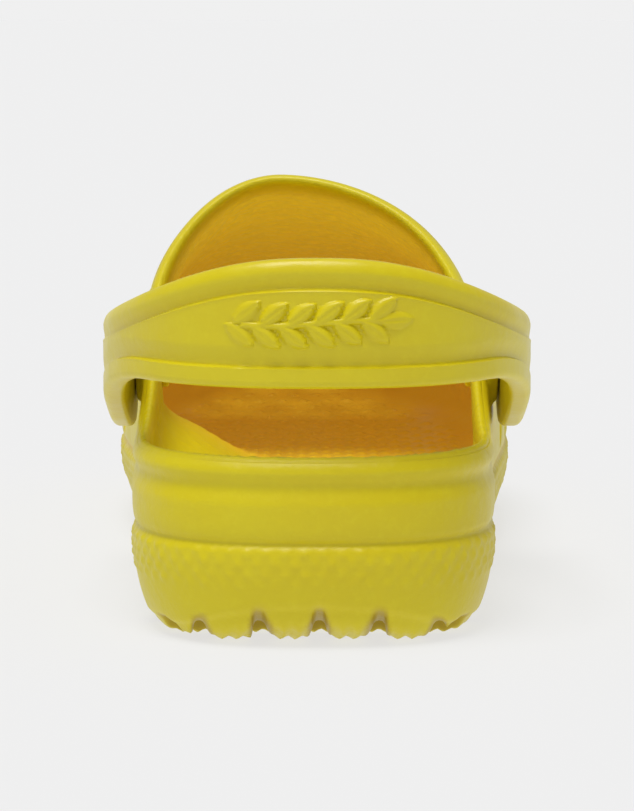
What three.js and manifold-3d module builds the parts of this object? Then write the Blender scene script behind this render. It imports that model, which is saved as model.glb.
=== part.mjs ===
// Garden clog for the right foot: one foam moulding, a heel strap, and two snap rivets that the strap
// turns on. Millimetres, +Y towards the toe, +X to the outer (lateral) side, +Z up. While it is built,
// y = 0 is the back of the heel; at the end the origin moves to the ground under the middle of the part.
import * as THREE from 'three';
import { LoftGeometry } from 'three/addons/geometries/LoftGeometry.js';
import { mergeVertices } from 'three/addons/utils/BufferGeometryUtils.js';
import Module from 'manifold-3d';

const wasm = await Module();
wasm.setup();

// ---- Driving dimensions ----

const length = 280; // back of the heel to the tip of the toe
const heelWidth = 84;
const ballWidth = 108; // widest place of the forefoot
const ballY = 200; // where the forefoot is widest
const waistOuter = 1.2; // how far each side draws in at the waist
const waistInner = 4;
const heelRoundness = 2.5; // superellipse exponents of the plan outline
const toeRoundness = { outer: 2.15, inner: 2.5 };

const wall = 4; // thickness of the upper
const wallTop = 33; // height where the upright side wall turns into the dome
const domeRoundness = { throat: 1.87, toe: 2.2 }; // exponents of the cross-section above the side wall
const innerFullness = 0.93; // added to the exponent on the inner side, behind the throat
const throatY = 150; // front edge of the foot opening
const throatHeight = 99; // highest point of the upper
const toeHeight = 60;
const crownSlope = 0.42; // fall of the ridge at the throat; it flattens towards the toe
const toeSpring = 9; // rise of the sole at the tip of the toe
const crownOffset = 9; // how far the ridge of the dome lies towards the inner side

const rimHeight = 44.5; // collar at the back of the heel
const rimFlatY = 25; // the collar is level up to here, then rises to the throat

const heelBed = 27; // height of the footbed
const ballBed = 20;
const archRise = 13; // rise of the footbed along the inner side of the waist
const bedCup = 3; // upturn of the footbed all round

const soleInset = { heel: 7, ball: 11 }; // rounding of the lower edge of the sole
const soleRoundHeight = 22;
const soleRoundness = 1.8;
const heelBevel = { rise: 7, reach: 15 }; // the sole turns up to the back edge of the heel
const treadDepth = 4.5;
const grooveWidth = 4.2;
const lugPitch = { across: 13.5, along: 19 };
const lugCentre = 1.3; // the middle groove lies a little to the outer side

const ventRadius = 4.2;
const ventPitch = { across: 17, along: 13 };
const ventRows = [4, 3, 2]; // over the toes, from the first row on
const ventSetback = 87; // from the throat to the first row
const portWidth = 8; // water ports low in the side wall
const portHeight = 16;
const portZ = 35;
const portSides = { outer: [142, 162, 182], inner: [172, 190, 208] };
const portToeAngles = [18, 48];

const rivetY = 105;
const rivetDrop = 14.4; // how far the rivets lie below the collar line
const stemRadius = 2.9;
const buttonRadius = 9.3;
const buttonThickness = 2.2;
const buttonRecess = 1.5;
const capRadius = 5.6;
const capThickness = 2.4;
const bossRadius = 9;
const bossThickness = 5.5; // foam between the strap and the inner cap
const clearance = 0.3;
const bossStandoff = 0.3; // how far the foam round each rivet stands proud of the side wall
const runningGap = 0.35; // strap and moulding beside each other

const strapThickness = 5;
const strapBackY = -3;
const strapBendY = 65; // the strap runs straight from here to the rivets
const strapRoundness = 2.4;
const strapTopBack = 87.2;
const strapBottomBack = 58.7;
const strapRoll = { depth: 2.6, height: 4.2 }; // rounding of the outer face into the top edge
const strapDropY = 15; // the lower edge slopes down from here to the rivets
const strapEndRadius = 15;
const strapOffset = 0.8; // the strap's middle lies a little to the outer side

const yellow = 0xf2d61c;

// ---- Small helpers ----

const clamp = (t) => Math.min(1, Math.max(0, t));
const smooth = (t) => clamp(t) ** 2 * (3 - 2 * clamp(t));
const mix = (a, b, t) => a + (b - a) * t;
const steps = (n) => Array.from({ length: n + 1 }, (_, i) => i / n);
const point = (x, y, z) => new THREE.Vector3(x, y, z);

// A closed manifold-3d solid from a three.js geometry, without the faces that a closed end folds flat.
function solid(geometry) {
  const bare = new THREE.BufferGeometry().setAttribute('position', geometry.getAttribute('position'));
  if (geometry.index) bare.setIndex(geometry.index);
  const merged = mergeVertices(bare, 1e-3);
  const faces = [];
  const corners = merged.index.array;
  for (let i = 0; i < corners.length; i += 3) {
    const [a, b, c] = corners.slice(i, i + 3);
    if (a !== b && b !== c && c !== a) faces.push(a, b, c);
  }
  const vertProperties = merged.attributes.position.array;
  return new wasm.Manifold(new wasm.Mesh({ numProp: 3, vertProperties, triVerts: new Uint32Array(faces) }));
}

function meshOf(name, body, material) {
  const { vertProperties, triVerts } = body.getMesh();
  const geometry = new THREE.BufferGeometry();
  geometry.setAttribute('position', new THREE.BufferAttribute(vertProperties, 3));
  geometry.setIndex(new THREE.BufferAttribute(triVerts, 1));
  geometry.computeVertexNormals();
  const mesh = new THREE.Mesh(geometry, material);
  mesh.name = name;
  return mesh;
}

// Height of the collar's edge, over the ground.
function collarZ(y) {
  const t = Math.max(0, (y - rimFlatY) / (throatY - rimFlatY));
  return rimHeight + (throatHeight - rimHeight) * t * t;
}

const rivetZ = collarZ(rivetY) - rivetDrop;

// A cylinder along X between two places, centred on the rivet line.
function rivetCylinder(x0, x1, radius, segments = 24) {
  const geometry = new THREE.CylinderGeometry(radius, radius, Math.abs(x1 - x0), segments);
  geometry.rotateZ(Math.PI / 2);
  geometry.translate((x0 + x1) / 2, rivetY, rivetZ);
  return solid(geometry);
}

// ---- The form of the moulding ----

const heelY = heelWidth / 2; // centre of the rounded heel

// Outline of the widest level; side is 1 for outer and -1 for inner.
function outlineX(side, y) {
  const t = clamp((y - heelY) / (ballY - heelY));
  const waist = side > 0 ? waistOuter : waistInner;
  return side * (mix(heelWidth, ballWidth, smooth(t)) / 2 - waist * Math.sin(Math.PI * t) ** 2);
}

const spineX = (y) => -crownOffset * smooth((y - heelY) / (throatY - heelY));
const spring = (y) => toeSpring * clamp((y - ballY) / (length - ballY)) ** 2;
const wallTopZ = (y) => wallTop + spring(y);

// Height of the ridge of the dome, also where the foot opening cuts it away.
function crownZ(y) {
  const vamp = length - throatY;
  const past = y - throatY;
  const easing = toeHeight - throatHeight + crownSlope * vamp;
  return throatHeight - crownSlope * past + easing * Math.max(0, past / vamp) ** 2;
}

// Superellipse exponent of the cross-section on one side: the inner side stands fuller behind the throat.
function roundness(side, y) {
  const towardsToe = smooth((y - throatY - 15) / (ballY - throatY - 15));
  const behindThroat = smooth((y - heelY) / 50) * clamp((throatY - y) / 35) ** 2.2;
  const fuller = side < 0 ? innerFullness * behindThroat : 0;
  return mix(domeRoundness.throat, domeRoundness.toe, towardsToe) + fuller;
}

// How far the lower edge of the sole draws in, at a height over the sole's underside.
function soleEdge(y, z) {
  const u = clamp(1 - z / soleRoundHeight);
  const inset = mix(soleInset.heel, soleInset.ball, smooth((y - heelY) / (ballY - heelY)));
  return inset * (1 - (1 - u ** soleRoundness) ** (1 / soleRoundness));
}

// Places round the plan outline, each with its anchor on the spine.
const sideSteps = 13;
const toeSteps = 16;
const heelSteps = 14;
function stations(inset) {
  const list = [];
  const add = (x, y, anchorY) => list.push({ x, y, ax: spineX(anchorY), ay: anchorY });
  const end = (from, to, count, centreY, reach, roundness) => {
    for (let i = 1; i < count; i++) {
      const angle = mix(from, to, i / count);
      const side = Math.cos(angle) > 0 ? 1 : -1;
      const n = 2 / roundness(side);
      const halfWidth = Math.abs(outlineX(side, centreY) - spineX(centreY)) - inset;
      const x = spineX(centreY) + side * halfWidth * Math.abs(Math.cos(angle)) ** n;
      const run = (reach - inset) * Math.abs(Math.sin(angle)) ** n;
      add(x, centreY + Math.sign(Math.sin(angle)) * run, centreY);
    }
  };
  for (const t of steps(sideSteps)) {
    const y = mix(heelY, ballY, t);
    add(outlineX(1, y) - inset, y, y);
  }
  end(0, Math.PI, toeSteps, ballY, length - ballY, (side) => toeRoundness[side > 0 ? 'outer' : 'inner']);
  for (const t of steps(sideSteps)) {
    const y = mix(ballY, heelY, t);
    add(outlineX(-1, y) + inset, y, y);
  }
  end(Math.PI, 2 * Math.PI, heelSteps, heelY, heelY, () => heelRoundness);
  return list;
}

// Share of the way from the spine to the outline that a place lies at.
function gauge(x, y) {
  const anchorY = THREE.MathUtils.clamp(y, heelY, ballY);
  const side = x > spineX(anchorY) ? 1 : -1;
  const across = Math.abs(x - spineX(anchorY)) / Math.abs(outlineX(side, anchorY) - spineX(anchorY));
  if (y === anchorY) return across;
  const toe = y > ballY;
  const n = toe ? toeRoundness[side > 0 ? 'outer' : 'inner'] : heelRoundness;
  const along = Math.abs(y - anchorY) / (toe ? length - ballY : heelY);
  return (across ** n + along ** n) ** (1 / n);
}

function domeZ(x, y) {
  const anchorY = THREE.MathUtils.clamp(y, heelY, ballY);
  const n = roundness(x > spineX(anchorY) ? 1 : -1, anchorY);
  return mix(wallTopZ(y), crownZ(y), (1 - clamp(gauge(x, y)) ** n) ** (1 / n));
}

// Outer face of the side wall at a height, on one side.
function wallX(side, y, z) {
  const b = clamp((z - wallTopZ(y)) / (crownZ(y) - wallTopZ(y)));
  const n = roundness(side, y);
  return mix(spineX(y), outlineX(side, y), (1 - b ** n) ** (1 / n));
}

function bedZ(x, y) {
  const bed = mix(heelBed, ballBed, smooth((y - heelY) / (ballY - heelY))) + spring(y);
  const archSpan = ballY - heelY;
  const archShare = Math.sin(Math.PI * clamp((y - heelY) / archSpan)) ** 2;
  const innerShare = smooth((-x - 8) / (heelWidth / 2 - wall - 8));
  return bed + archRise * archShare * innerShare + bedCup * clamp(gauge(x, y)) ** 4;
}

const along = (s, a) => [mix(s.ax, s.x, a), mix(s.ay, s.y, a)];
const roundnessAt = (s) => roundness(s.x > s.ax ? 1 : -1, s.ay);

// The whole moulding as a closed block, before it is hollowed.
function outerBlock() {
  const rounding = [0, 0.07, 0.19, 0.36, 0.6, 1];
  const rings = [];
  const places = stations(0);
  const soleRing = (share, z) =>
    places.map((s) => {
      const reach = Math.hypot(s.x - s.ax, s.y - s.ay);
      const [x, y] = along(s, share * (1 - soleEdge(s.y, z) / reach));
      return point(x, y, z + spring(y));
    });
  rings.push(soleRing(0, 0), soleRing(0.5, 0));
  for (const share of rounding) rings.push(soleRing(1, share * soleRoundHeight));
  for (const t of steps(9)) {
    const angle = (t * Math.PI) / 2;
    rings.push(
      places.map((s) => {
        const n = 2 / roundnessAt(s);
        const [x, y] = along(s, t === 1 ? 0 : Math.cos(angle) ** n);
        return point(x, y, mix(wallTopZ(y), crownZ(y), Math.sin(angle) ** n));
      }),
    );
  }
  return solid(new LoftGeometry(rings));
}

// The space for the foot, from the footbed to the inside of the dome.
function footSpace() {
  const rings = [];
  const places = stations(wall);
  const starts = places.map((s) => {
    const share = clamp((bedZ(s.x, s.y) - wallTopZ(s.y)) / (crownZ(s.y) - wall - wallTopZ(s.y)));
    return Math.asin(share ** (roundnessAt(s) / 2));
  });
  for (const share of [0, 0.3, 0.55, 0.75, 0.9]) {
    rings.push(
      places.map((s, i) => {
        const [x, y] = along(s, share * Math.cos(starts[i]) ** (2 / roundnessAt(s)));
        return point(x, y, bedZ(x, y));
      }),
    );
  }
  for (const t of steps(9)) {
    rings.push(
      places.map((s, i) => {
        const angle = mix(starts[i], Math.PI / 2, t);
        const n = 2 / roundnessAt(s);
        const [x, y] = along(s, t === 1 ? 0 : Math.cos(angle) ** n);
        if (t === 0) return point(x, y, bedZ(x, y));
        return point(x, y, mix(wallTopZ(y), crownZ(y) - wall, Math.sin(angle) ** n));
      }),
    );
  }
  return solid(new LoftGeometry(rings));
}

// A prism across the part, from its outline in the side view as [y, z] corners.
function prism(outline, x0 = -ballWidth, x1 = ballWidth) {
  const shape = new THREE.Shape(outline.map(([y, z]) => new THREE.Vector2(y, z)));
  const geometry = new THREE.ExtrudeGeometry(shape, { depth: x1 - x0, bevelEnabled: false });
  geometry.translate(0, 0, x0);
  geometry.applyMatrix4(new THREE.Matrix4().makeBasis(point(0, 1, 0), point(0, 0, 1), point(1, 0, 0)));
  return solid(geometry);
}

// Everything above the collar line.
function collarCut() {
  const overshoot = 12;
  const line = steps(16).map((t) => mix(rimFlatY, throatY + overshoot, t)).map((y) => [y, collarZ(y)]);
  const back = -2 * wall;
  const top = crownZ(back);
  return prism([[back, rimHeight], ...line, [throatY + overshoot, top], [back, top]]);
}

// Everything under the turned-up back edge of the heel, or under a level that lies higher by a depth.
function bevelCut(depth, x0, x1) {
  const below = 10;
  const bevel = (y) => heelBevel.rise * (1 - y / heelBevel.reach) ** 1.6 + depth;
  const line = steps(8).map((t) => t * heelBevel.reach).map((y) => [y, bevel(y)]);
  return prism([[-below, -below], [-below, bevel(0)], ...line, [heelBevel.reach, -below]], x0, x1);
}

function vents() {
  const list = [];
  ventRows.forEach((count, row) => {
    const y = throatY + ventSetback + row * ventPitch.along;
    for (let i = 0; i < count; i++) {
      const x = spineX(y) + (i - (count - 1) / 2) * ventPitch.across;
      const slopeX = (domeZ(x + 1, y) - domeZ(x - 1, y)) / 2;
      const slopeY = (domeZ(x, y + 1) - domeZ(x, y - 1)) / 2;
      const normal = point(-slopeX, -slopeY, 1).normalize();
      const geometry = new THREE.CylinderGeometry(ventRadius, ventRadius, 6 * wall, 14);
      geometry.applyQuaternion(new THREE.Quaternion().setFromUnitVectors(point(0, 1, 0), normal));
      geometry.translate(x, y, domeZ(x, y));
      list.push(solid(geometry));
    }
  });
  return list;
}

// Upright oval ports low in the side wall, square to the outline.
function ports() {
  const list = [];
  const add = (x, y, turn) => {
    const geometry = new THREE.CylinderGeometry(portWidth / 2, portWidth / 2, 5 * wall, 14);
    geometry.rotateZ(Math.PI / 2);
    geometry.scale(1, 1, portHeight / portWidth);
    geometry.rotateZ(turn);
    geometry.translate(x, y, portZ + spring(y));
    list.push(solid(geometry));
  };
  for (const side of [1, -1]) {
    for (const y of portSides[side > 0 ? 'outer' : 'inner']) {
      const slope = outlineX(side, y + 1) - outlineX(side, y - 1);
      add(wallX(side, y, portZ), y, Math.atan2(-slope, 2));
    }
    const n = toeRoundness[side > 0 ? 'outer' : 'inner'];
    const halfWidth = Math.abs(outlineX(side, ballY) - spineX(ballY));
    for (const degrees of portToeAngles) {
      const angle = THREE.MathUtils.degToRad(degrees);
      const inward = (reach) => reach - wall;
      const x = spineX(ballY) + side * inward(halfWidth) * Math.cos(angle) ** (2 / n);
      const y = ballY + inward(length - ballY) * Math.sin(angle) ** (2 / n);
      add(x, y, side * angle);
    }
  }
  return list;
}

// Grooves that part the tread into lugs: lengthwise under the heel and the forefoot, and crosswise.
function treadGrooves() {
  const list = [];
  const below = 10;
  const add = (x, y, sizeX, sizeY) => {
    const depth = treadDepth + spring(y);
    const geometry = new THREE.BoxGeometry(sizeX, sizeY, depth + below);
    geometry.translate(x, y, (depth - below) / 2);
    list.push(solid(geometry));
  };
  const heelEnd = 3.5 * lugPitch.along;
  const foreStart = throatY - lugPitch.along;
  for (let i = -2; i <= 2; i++) {
    const x = lugCentre + i * lugPitch.across;
    const between = x + lugPitch.across / 2;
    list.push(bevelCut(treadDepth, x - grooveWidth / 2, x + grooveWidth / 2));
    add(x, lugPitch.along / 2, grooveWidth, lugPitch.along);
    if (i < 2) add(between, (heelEnd + lugPitch.along) / 2, grooveWidth, heelEnd - lugPitch.along);
    add(x, (foreStart + length) / 2, grooveWidth, length - foreStart);
  }
  for (let y = lugPitch.along; y < heelEnd; y += lugPitch.along) add(0, y, ballWidth, grooveWidth);
  for (let y = foreStart; y < length - lugPitch.along; y += lugPitch.along) {
    add(0, y, ballWidth * 1.2, grooveWidth);
  }
  return list;
}

// ---- Strap and rivet places, tied to the side wall ----

// How far the side wall reaches out behind the strap's rounded end, from under the rivet round to the front.
function wallReach(side) {
  const reaches = steps(4).map((t) => {
    const angle = (t * Math.PI) / 2;
    const y = rivetY + strapEndRadius * Math.sin(angle);
    return Math.abs(wallX(side, y, rivetZ - strapEndRadius * Math.cos(angle)) - strapOffset);
  });
  return Math.max(...reaches);
}

const bossFace = Math.max(wallReach(1), wallReach(-1)) + bossStandoff;
const capSeat = bossFace - bossThickness;
const strapInner = bossFace + runningGap; // half width inside, at the rivets
const strapOuter = strapInner + strapThickness;

function clogShell() {
  let body = outerBlock().subtract(footSpace());
  for (const side of [1, -1]) {
    const at = (reach) => strapOffset + side * reach;
    const seatDepth = 4 * wall;
    body = body
      .add(rivetCylinder(at(capSeat), at(bossFace), bossRadius))
      .subtract(rivetCylinder(at(capSeat - seatDepth), at(capSeat), capRadius + 2 * clearance))
      .subtract(rivetCylinder(at(capSeat - 1), at(bossFace + 1), stemRadius + clearance, 16));
  }
  body = body.subtract(collarCut());
  for (const cut of [...vents(), ...ports(), bevelCut(0), ...treadGrooves()]) body = body.subtract(cut);
  return body;
}

// Plan curve of the strap's outer face, from one rounded end round the heel to the other.
function strapPath() {
  const tipY = rivetY + strapEndRadius;
  const list = [];
  const straight = (side, ys) => ys.forEach((y) => list.push({ x: side * strapOuter, y, nx: side, ny: 0 }));
  const endYs = steps(6).map((t) => rivetY + strapEndRadius * Math.cos((t * Math.PI) / 2));
  const sideYs = [1, 2, 3].map((i) => mix(rivetY, strapBendY, i / 4));
  straight(1, [tipY - 1e-3, ...endYs.slice(1), ...sideYs]);
  const n = strapRoundness;
  const depth = strapBendY - strapBackY;
  for (const t of steps(30)) {
    const angle = t * Math.PI;
    const c = Math.abs(Math.cos(angle));
    const s = Math.abs(Math.sin(angle));
    const side = Math.cos(angle) >= 0 ? 1 : -1;
    const steep = 2 - 2 / n;
    const normal = new THREE.Vector2(side * c ** steep / strapOuter, -(s ** steep) / depth).normalize();
    const x = side * strapOuter * c ** (2 / n);
    list.push({ x, y: strapBendY - depth * s ** (2 / n), nx: normal.x, ny: normal.y });
  }
  straight(-1, [...sideYs.reverse(), ...endYs.slice(1).reverse(), tipY - 1e-3]);
  return list;
}

// Top and bottom edge of the strap at a place on its path.
function strapEdges(y) {
  if (y > rivetY) {
    const half = Math.sqrt(Math.max(0, strapEndRadius ** 2 - (y - rivetY) ** 2));
    return [rivetZ + half, rivetZ - half];
  }
  const endTop = rivetZ + strapEndRadius;
  const fade = (strapBendY - strapBackY) * 0.53;
  const decay = Math.exp((strapBackY - y) / fade);
  const decayEnd = Math.exp((strapBackY - rivetY) / fade);
  const top = mix(endTop, strapTopBack, (decay - decayEnd) / (1 - decayEnd));
  const dip = smooth((y - strapDropY) / (rivetY - strapDropY));
  return [top, mix(strapBottomBack, rivetZ - strapEndRadius, dip)];
}

function heelStrap() {
  // Section corners as [depth into the strap, distance from the edge].
  const rounded = (depth, height) => [
    [depth, 0],
    [depth * 0.3, height * 0.3],
    [0, height],
  ];
  const roll = rounded(strapRoll.depth, strapRoll.height);
  const corner = rounded(1.5, 1.5);
  const rings = strapPath().map(({ x, y, nx, ny }) => {
    const [top, bottom] = strapEdges(y);
    const inward = (depth) => [strapOffset + x - nx * depth, y - ny * depth];
    const ring = [];
    const add = (depth, z) => {
      const [px, py] = inward(depth);
      ring.push(point(px, py, z));
    };
    const half = (top - bottom) / 2;
    const fit = Math.min(1, half / strapRoll.height);
    roll.forEach(([d, e]) => add(d, top - e * fit));
    [...corner].reverse().forEach(([d, e]) => add(d, bottom + e * fit));
    corner.forEach(([d, e]) => add(strapThickness - d, bottom + e * fit));
    [...corner].reverse().forEach(([d, e]) => add(strapThickness - d, top - e * fit));
    return ring.reverse();
  });
  let body = solid(new LoftGeometry(rings, { capStart: true, capEnd: true }));
  const recessRadius = buttonRadius + 2 * clearance;
  for (const side of [1, -1]) {
    const at = (reach) => strapOffset + side * reach;
    body = body
      .subtract(rivetCylinder(at(strapOuter - buttonRecess), at(strapOuter + 5), recessRadius))
      .subtract(rivetCylinder(at(strapInner - 1), at(strapOuter), stemRadius + clearance, 16));
  }
  return body;
}

// Turned pieces are drawn as [radius, distance along the rivet from the strap's middle plane].
function turned(profile, side, segments = 32) {
  const geometry = new THREE.LatheGeometry(
    profile.map(([r, reach]) => new THREE.Vector2(r, reach)),
    segments,
  );
  geometry.rotateZ(-Math.PI / 2);
  if (side < 0) geometry.rotateZ(Math.PI);
  geometry.translate(strapOffset, rivetY, rivetZ);
  return solid(geometry);
}

const headSeat = strapOuter - buttonRecess + clearance;
const capInside = capSeat - clearance - capThickness;
const barb = 0.6;

function rivetButton(side) {
  const tip = capInside + 0.2;
  return turned(
    [
      [0, tip],
      [stemRadius * 0.6, tip],
      [stemRadius + barb, tip + 0.8],
      [stemRadius + barb, tip + 1],
      [stemRadius, tip + 1.1],
      [stemRadius, headSeat],
      [buttonRadius, headSeat],
      [buttonRadius, headSeat + buttonThickness * 0.5],
      [buttonRadius * 0.93, headSeat + buttonThickness * 0.82],
      [buttonRadius * 0.6, headSeat + buttonThickness],
      [0, headSeat + buttonThickness],
    ],
    side,
  );
}

function rivetCap(side) {
  const bore = stemRadius + clearance;
  const pocket = bore + barb;
  const face = capSeat - clearance;
  const step = capInside + 1.5;
  return turned(
    [
      [bore, face],
      [bore, step],
      [pocket, step],
      [pocket, capInside],
      [capRadius * 0.85, capInside],
      [capRadius, capInside + capThickness * 0.4],
      [capRadius, face],
      [bore, face],
    ],
    side,
  );
}

// ---- Assembly ----

const foam = new THREE.MeshStandardMaterial({ color: yellow, roughness: 0.48, metalness: 0 });
const strapFoam = new THREE.MeshStandardMaterial({ color: yellow, roughness: 0.42, metalness: 0 });
const rivetPlastic = new THREE.MeshStandardMaterial({ color: yellow, roughness: 0.3, metalness: 0 });

const clog = new THREE.Group();
clog.add(meshOf('clog_shell', clogShell(), foam));
clog.add(meshOf('heel_strap', heelStrap(), strapFoam));
for (const [name, side] of [
  ['outer', 1],
  ['inner', -1],
]) {
  clog.add(meshOf(`rivet_button_${name}_side`, rivetButton(side), rivetPlastic));
  clog.add(meshOf(`rivet_cap_${name}_side`, rivetCap(side), rivetPlastic));
}

// The origin moves to the ground under the middle of the part.
const middle = new THREE.Box3().setFromObject(clog).getCenter(point(0, 0, 0));
clog.position.set(-middle.x, -middle.y, 0);

export default clog;
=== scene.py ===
# Looks of a foam garden clog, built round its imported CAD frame.
# Shapes are worked out in millimetres with y = 0 at the back of the heel, as the CAD part is, and are
# moved to the frame's metres as they become meshes.
import math

import bmesh
import bpy
import numpy as np
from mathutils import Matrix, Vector


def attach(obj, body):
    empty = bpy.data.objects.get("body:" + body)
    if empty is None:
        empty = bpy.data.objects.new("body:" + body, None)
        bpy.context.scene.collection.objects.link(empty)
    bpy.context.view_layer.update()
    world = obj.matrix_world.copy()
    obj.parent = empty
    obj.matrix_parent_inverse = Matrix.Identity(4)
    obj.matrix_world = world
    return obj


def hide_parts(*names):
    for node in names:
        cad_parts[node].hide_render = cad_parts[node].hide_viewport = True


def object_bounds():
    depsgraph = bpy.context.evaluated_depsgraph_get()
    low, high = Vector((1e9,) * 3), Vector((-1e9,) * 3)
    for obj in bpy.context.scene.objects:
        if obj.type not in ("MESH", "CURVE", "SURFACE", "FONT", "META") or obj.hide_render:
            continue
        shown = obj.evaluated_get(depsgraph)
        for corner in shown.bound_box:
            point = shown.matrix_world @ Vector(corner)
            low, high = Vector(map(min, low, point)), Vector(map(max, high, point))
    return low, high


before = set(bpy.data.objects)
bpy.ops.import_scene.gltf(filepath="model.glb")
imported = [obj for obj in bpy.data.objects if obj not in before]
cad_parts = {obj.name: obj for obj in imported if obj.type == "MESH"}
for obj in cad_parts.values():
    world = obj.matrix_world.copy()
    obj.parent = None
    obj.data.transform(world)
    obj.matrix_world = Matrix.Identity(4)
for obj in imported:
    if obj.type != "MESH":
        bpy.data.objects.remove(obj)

cad_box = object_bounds()

# ---- Sizes of the moulding, as in the CAD part ----

LENGTH = 280
HEEL_WIDTH = 84
BALL_WIDTH = 108
BALL_Y = 200
WAIST_OUTER = 1.2
WAIST_INNER = 4
HEEL_ROUNDNESS = 2.5
TOE_OUTER = 2.15
TOE_INNER = 2.5
WALL = 4
WALL_TOP = 33
DOME_THROAT = 1.87
DOME_TOE = 2.2
INNER_FULLNESS = 0.93
THROAT_Y = 150
THROAT_HEIGHT = 99
TOE_HEIGHT = 60
CROWN_SLOPE = 0.42
TOE_SPRING = 9
CROWN_OFFSET = 9
RIM_HEIGHT = 44.5
RIM_FLAT_Y = 25
HEEL_BED = 27
BALL_BED = 20
ARCH_RISE = 13
BED_CUP = 3
SOLE_INSET_HEEL = 7
SOLE_INSET_BALL = 11
SOLE_ROUND_HEIGHT = 22
SOLE_ROUNDNESS = 1.8
BEVEL_RISE = 7
BEVEL_REACH = 15
TREAD_DEPTH = 4.5
GROOVE_WIDTH = 4.2
LUG_ACROSS = 13.5
LUG_ALONG = 19
LUG_CENTRE = 1.3
VENT_RADIUS = 4.2
VENT_ACROSS = 17
VENT_ALONG = 13
VENT_ROWS = [4, 3, 2]
VENT_SETBACK = 87
PORT_WIDTH = 8
PORT_HEIGHT = 16
PORT_Z = 35
PORT_SIDES = {1: [142, 162, 182], -1: [172, 190, 208]}
PORT_TOE_ANGLES = [18, 48]
RIVET_Y = 105
RIVET_DROP = 14.4
STEM_RADIUS = 2.9
BUTTON_RADIUS = 9.3
BUTTON_THICKNESS = 2.2
BUTTON_RECESS = 1.5
CAP_RADIUS = 5.6
CAP_THICKNESS = 2.4
BOSS_RADIUS = 9
BOSS_THICKNESS = 5.5
BOSS_STANDOFF = 0.3
CLEARANCE = 0.3
RUNNING_GAP = 0.35
STRAP_THICKNESS = 5
STRAP_BACK_Y = -3
STRAP_BEND_Y = 65
STRAP_ROUNDNESS = 2.4
STRAP_TOP_BACK = 87.2
STRAP_BOTTOM_BACK = 58.7
STRAP_DROP_Y = 15
ROLL_DEPTH = 2.6
ROLL_HEIGHT = 4.2
STRAP_END_RADIUS = 15
STRAP_OFFSET = 0.8

HEEL_Y = HEEL_WIDTH / 2
MM = 0.001
SHIFT_Y = STRAP_BACK_Y - cad_box[0].y / MM  # from the heel's back to the frame's origin
VOXEL = 0.8


def to_frame(points):
    """Millimetres from the back of the heel to the frame's metres."""
    return (np.asarray(points, float) - (0, SHIFT_Y, 0)) * MM


# ---- Shape functions ----


def smooth(t):
    t = np.clip(t, 0, 1)
    return t * t * (3 - 2 * t)


def mix(a, b, t):
    return a + (b - a) * t


def bell(t, width):
    return np.exp(-((t / width) ** 2))


def soft_max(a, b, blend):
    """The larger of two fields, with the corner between them rounded."""
    h = np.maximum(blend - np.abs(a - b), 0) / blend
    return np.maximum(a, b) + h * h * blend / 4


def soft_min(a, b, blend):
    return -soft_max(-a, -b, blend)


def outline_x(side, y):
    t = np.clip((y - HEEL_Y) / (BALL_Y - HEEL_Y), 0, 1)
    waist = WAIST_OUTER if side > 0 else WAIST_INNER
    return side * (mix(HEEL_WIDTH, BALL_WIDTH, smooth(t)) / 2 - waist * np.sin(np.pi * t) ** 2)


def spine_x(y):
    return -CROWN_OFFSET * smooth((y - HEEL_Y) / (THROAT_Y - HEEL_Y))


def spring(y):
    return TOE_SPRING * np.clip((y - BALL_Y) / (LENGTH - BALL_Y), 0, None) ** 2


def crown_z(y):
    vamp = LENGTH - THROAT_Y
    past = y - THROAT_Y
    easing = TOE_HEIGHT - THROAT_HEIGHT + CROWN_SLOPE * vamp
    return THROAT_HEIGHT - CROWN_SLOPE * past + easing * np.maximum(0, past / vamp) ** 2


def roundness(outer_side, y):
    towards_toe = smooth((y - THROAT_Y - 15) / (BALL_Y - THROAT_Y - 15))
    behind_throat = smooth((y - HEEL_Y) / 50) * np.clip((THROAT_Y - y) / 35, 0, 1) ** 2.2
    return mix(DOME_THROAT, DOME_TOE, towards_toe) + np.where(outer_side, 0, INNER_FULLNESS * behind_throat)


def wall_top_z(y):
    return WALL_TOP + spring(y)


def collar_z(y):
    t = np.maximum(0, (y - RIM_FLAT_Y) / (THROAT_Y - RIM_FLAT_Y))
    return RIM_HEIGHT + (THROAT_HEIGHT - RIM_HEIGHT) * t * t


def collar_slope(y):
    t = np.maximum(0, (y - RIM_FLAT_Y) / (THROAT_Y - RIM_FLAT_Y))
    return 2 * (THROAT_HEIGHT - RIM_HEIGHT) * t / (THROAT_Y - RIM_FLAT_Y)


def slope_of(function, y):
    return function(y + 0.5) - function(y - 0.5)


def gauge(x, y, inset=0):
    """Share of the way from the spine to the outline, and how fast it grows along x and y."""
    anchor = np.clip(y, HEEL_Y, BALL_Y)
    spine = spine_x(anchor)
    outer_side = x > spine
    half = np.where(outer_side, outline_x(1, anchor) - spine, spine - outline_x(-1, anchor)) - inset
    toe = y > BALL_Y
    reach = np.where(toe, LENGTH - BALL_Y, HEEL_Y) - inset
    n = np.where(toe, np.where(outer_side, TOE_OUTER, TOE_INNER), HEEL_ROUNDNESS)
    across = np.abs(x - spine) / half
    along = np.abs(y - anchor) / reach
    share = np.maximum((across**n + along**n) ** (1 / n), 1e-3)
    grow_x = (across / share) ** (n - 1) / half * np.sign(x - spine)
    grow_y = (along / share) ** (n - 1) / reach * np.sign(y - anchor)
    return share, grow_x, grow_y


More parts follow.
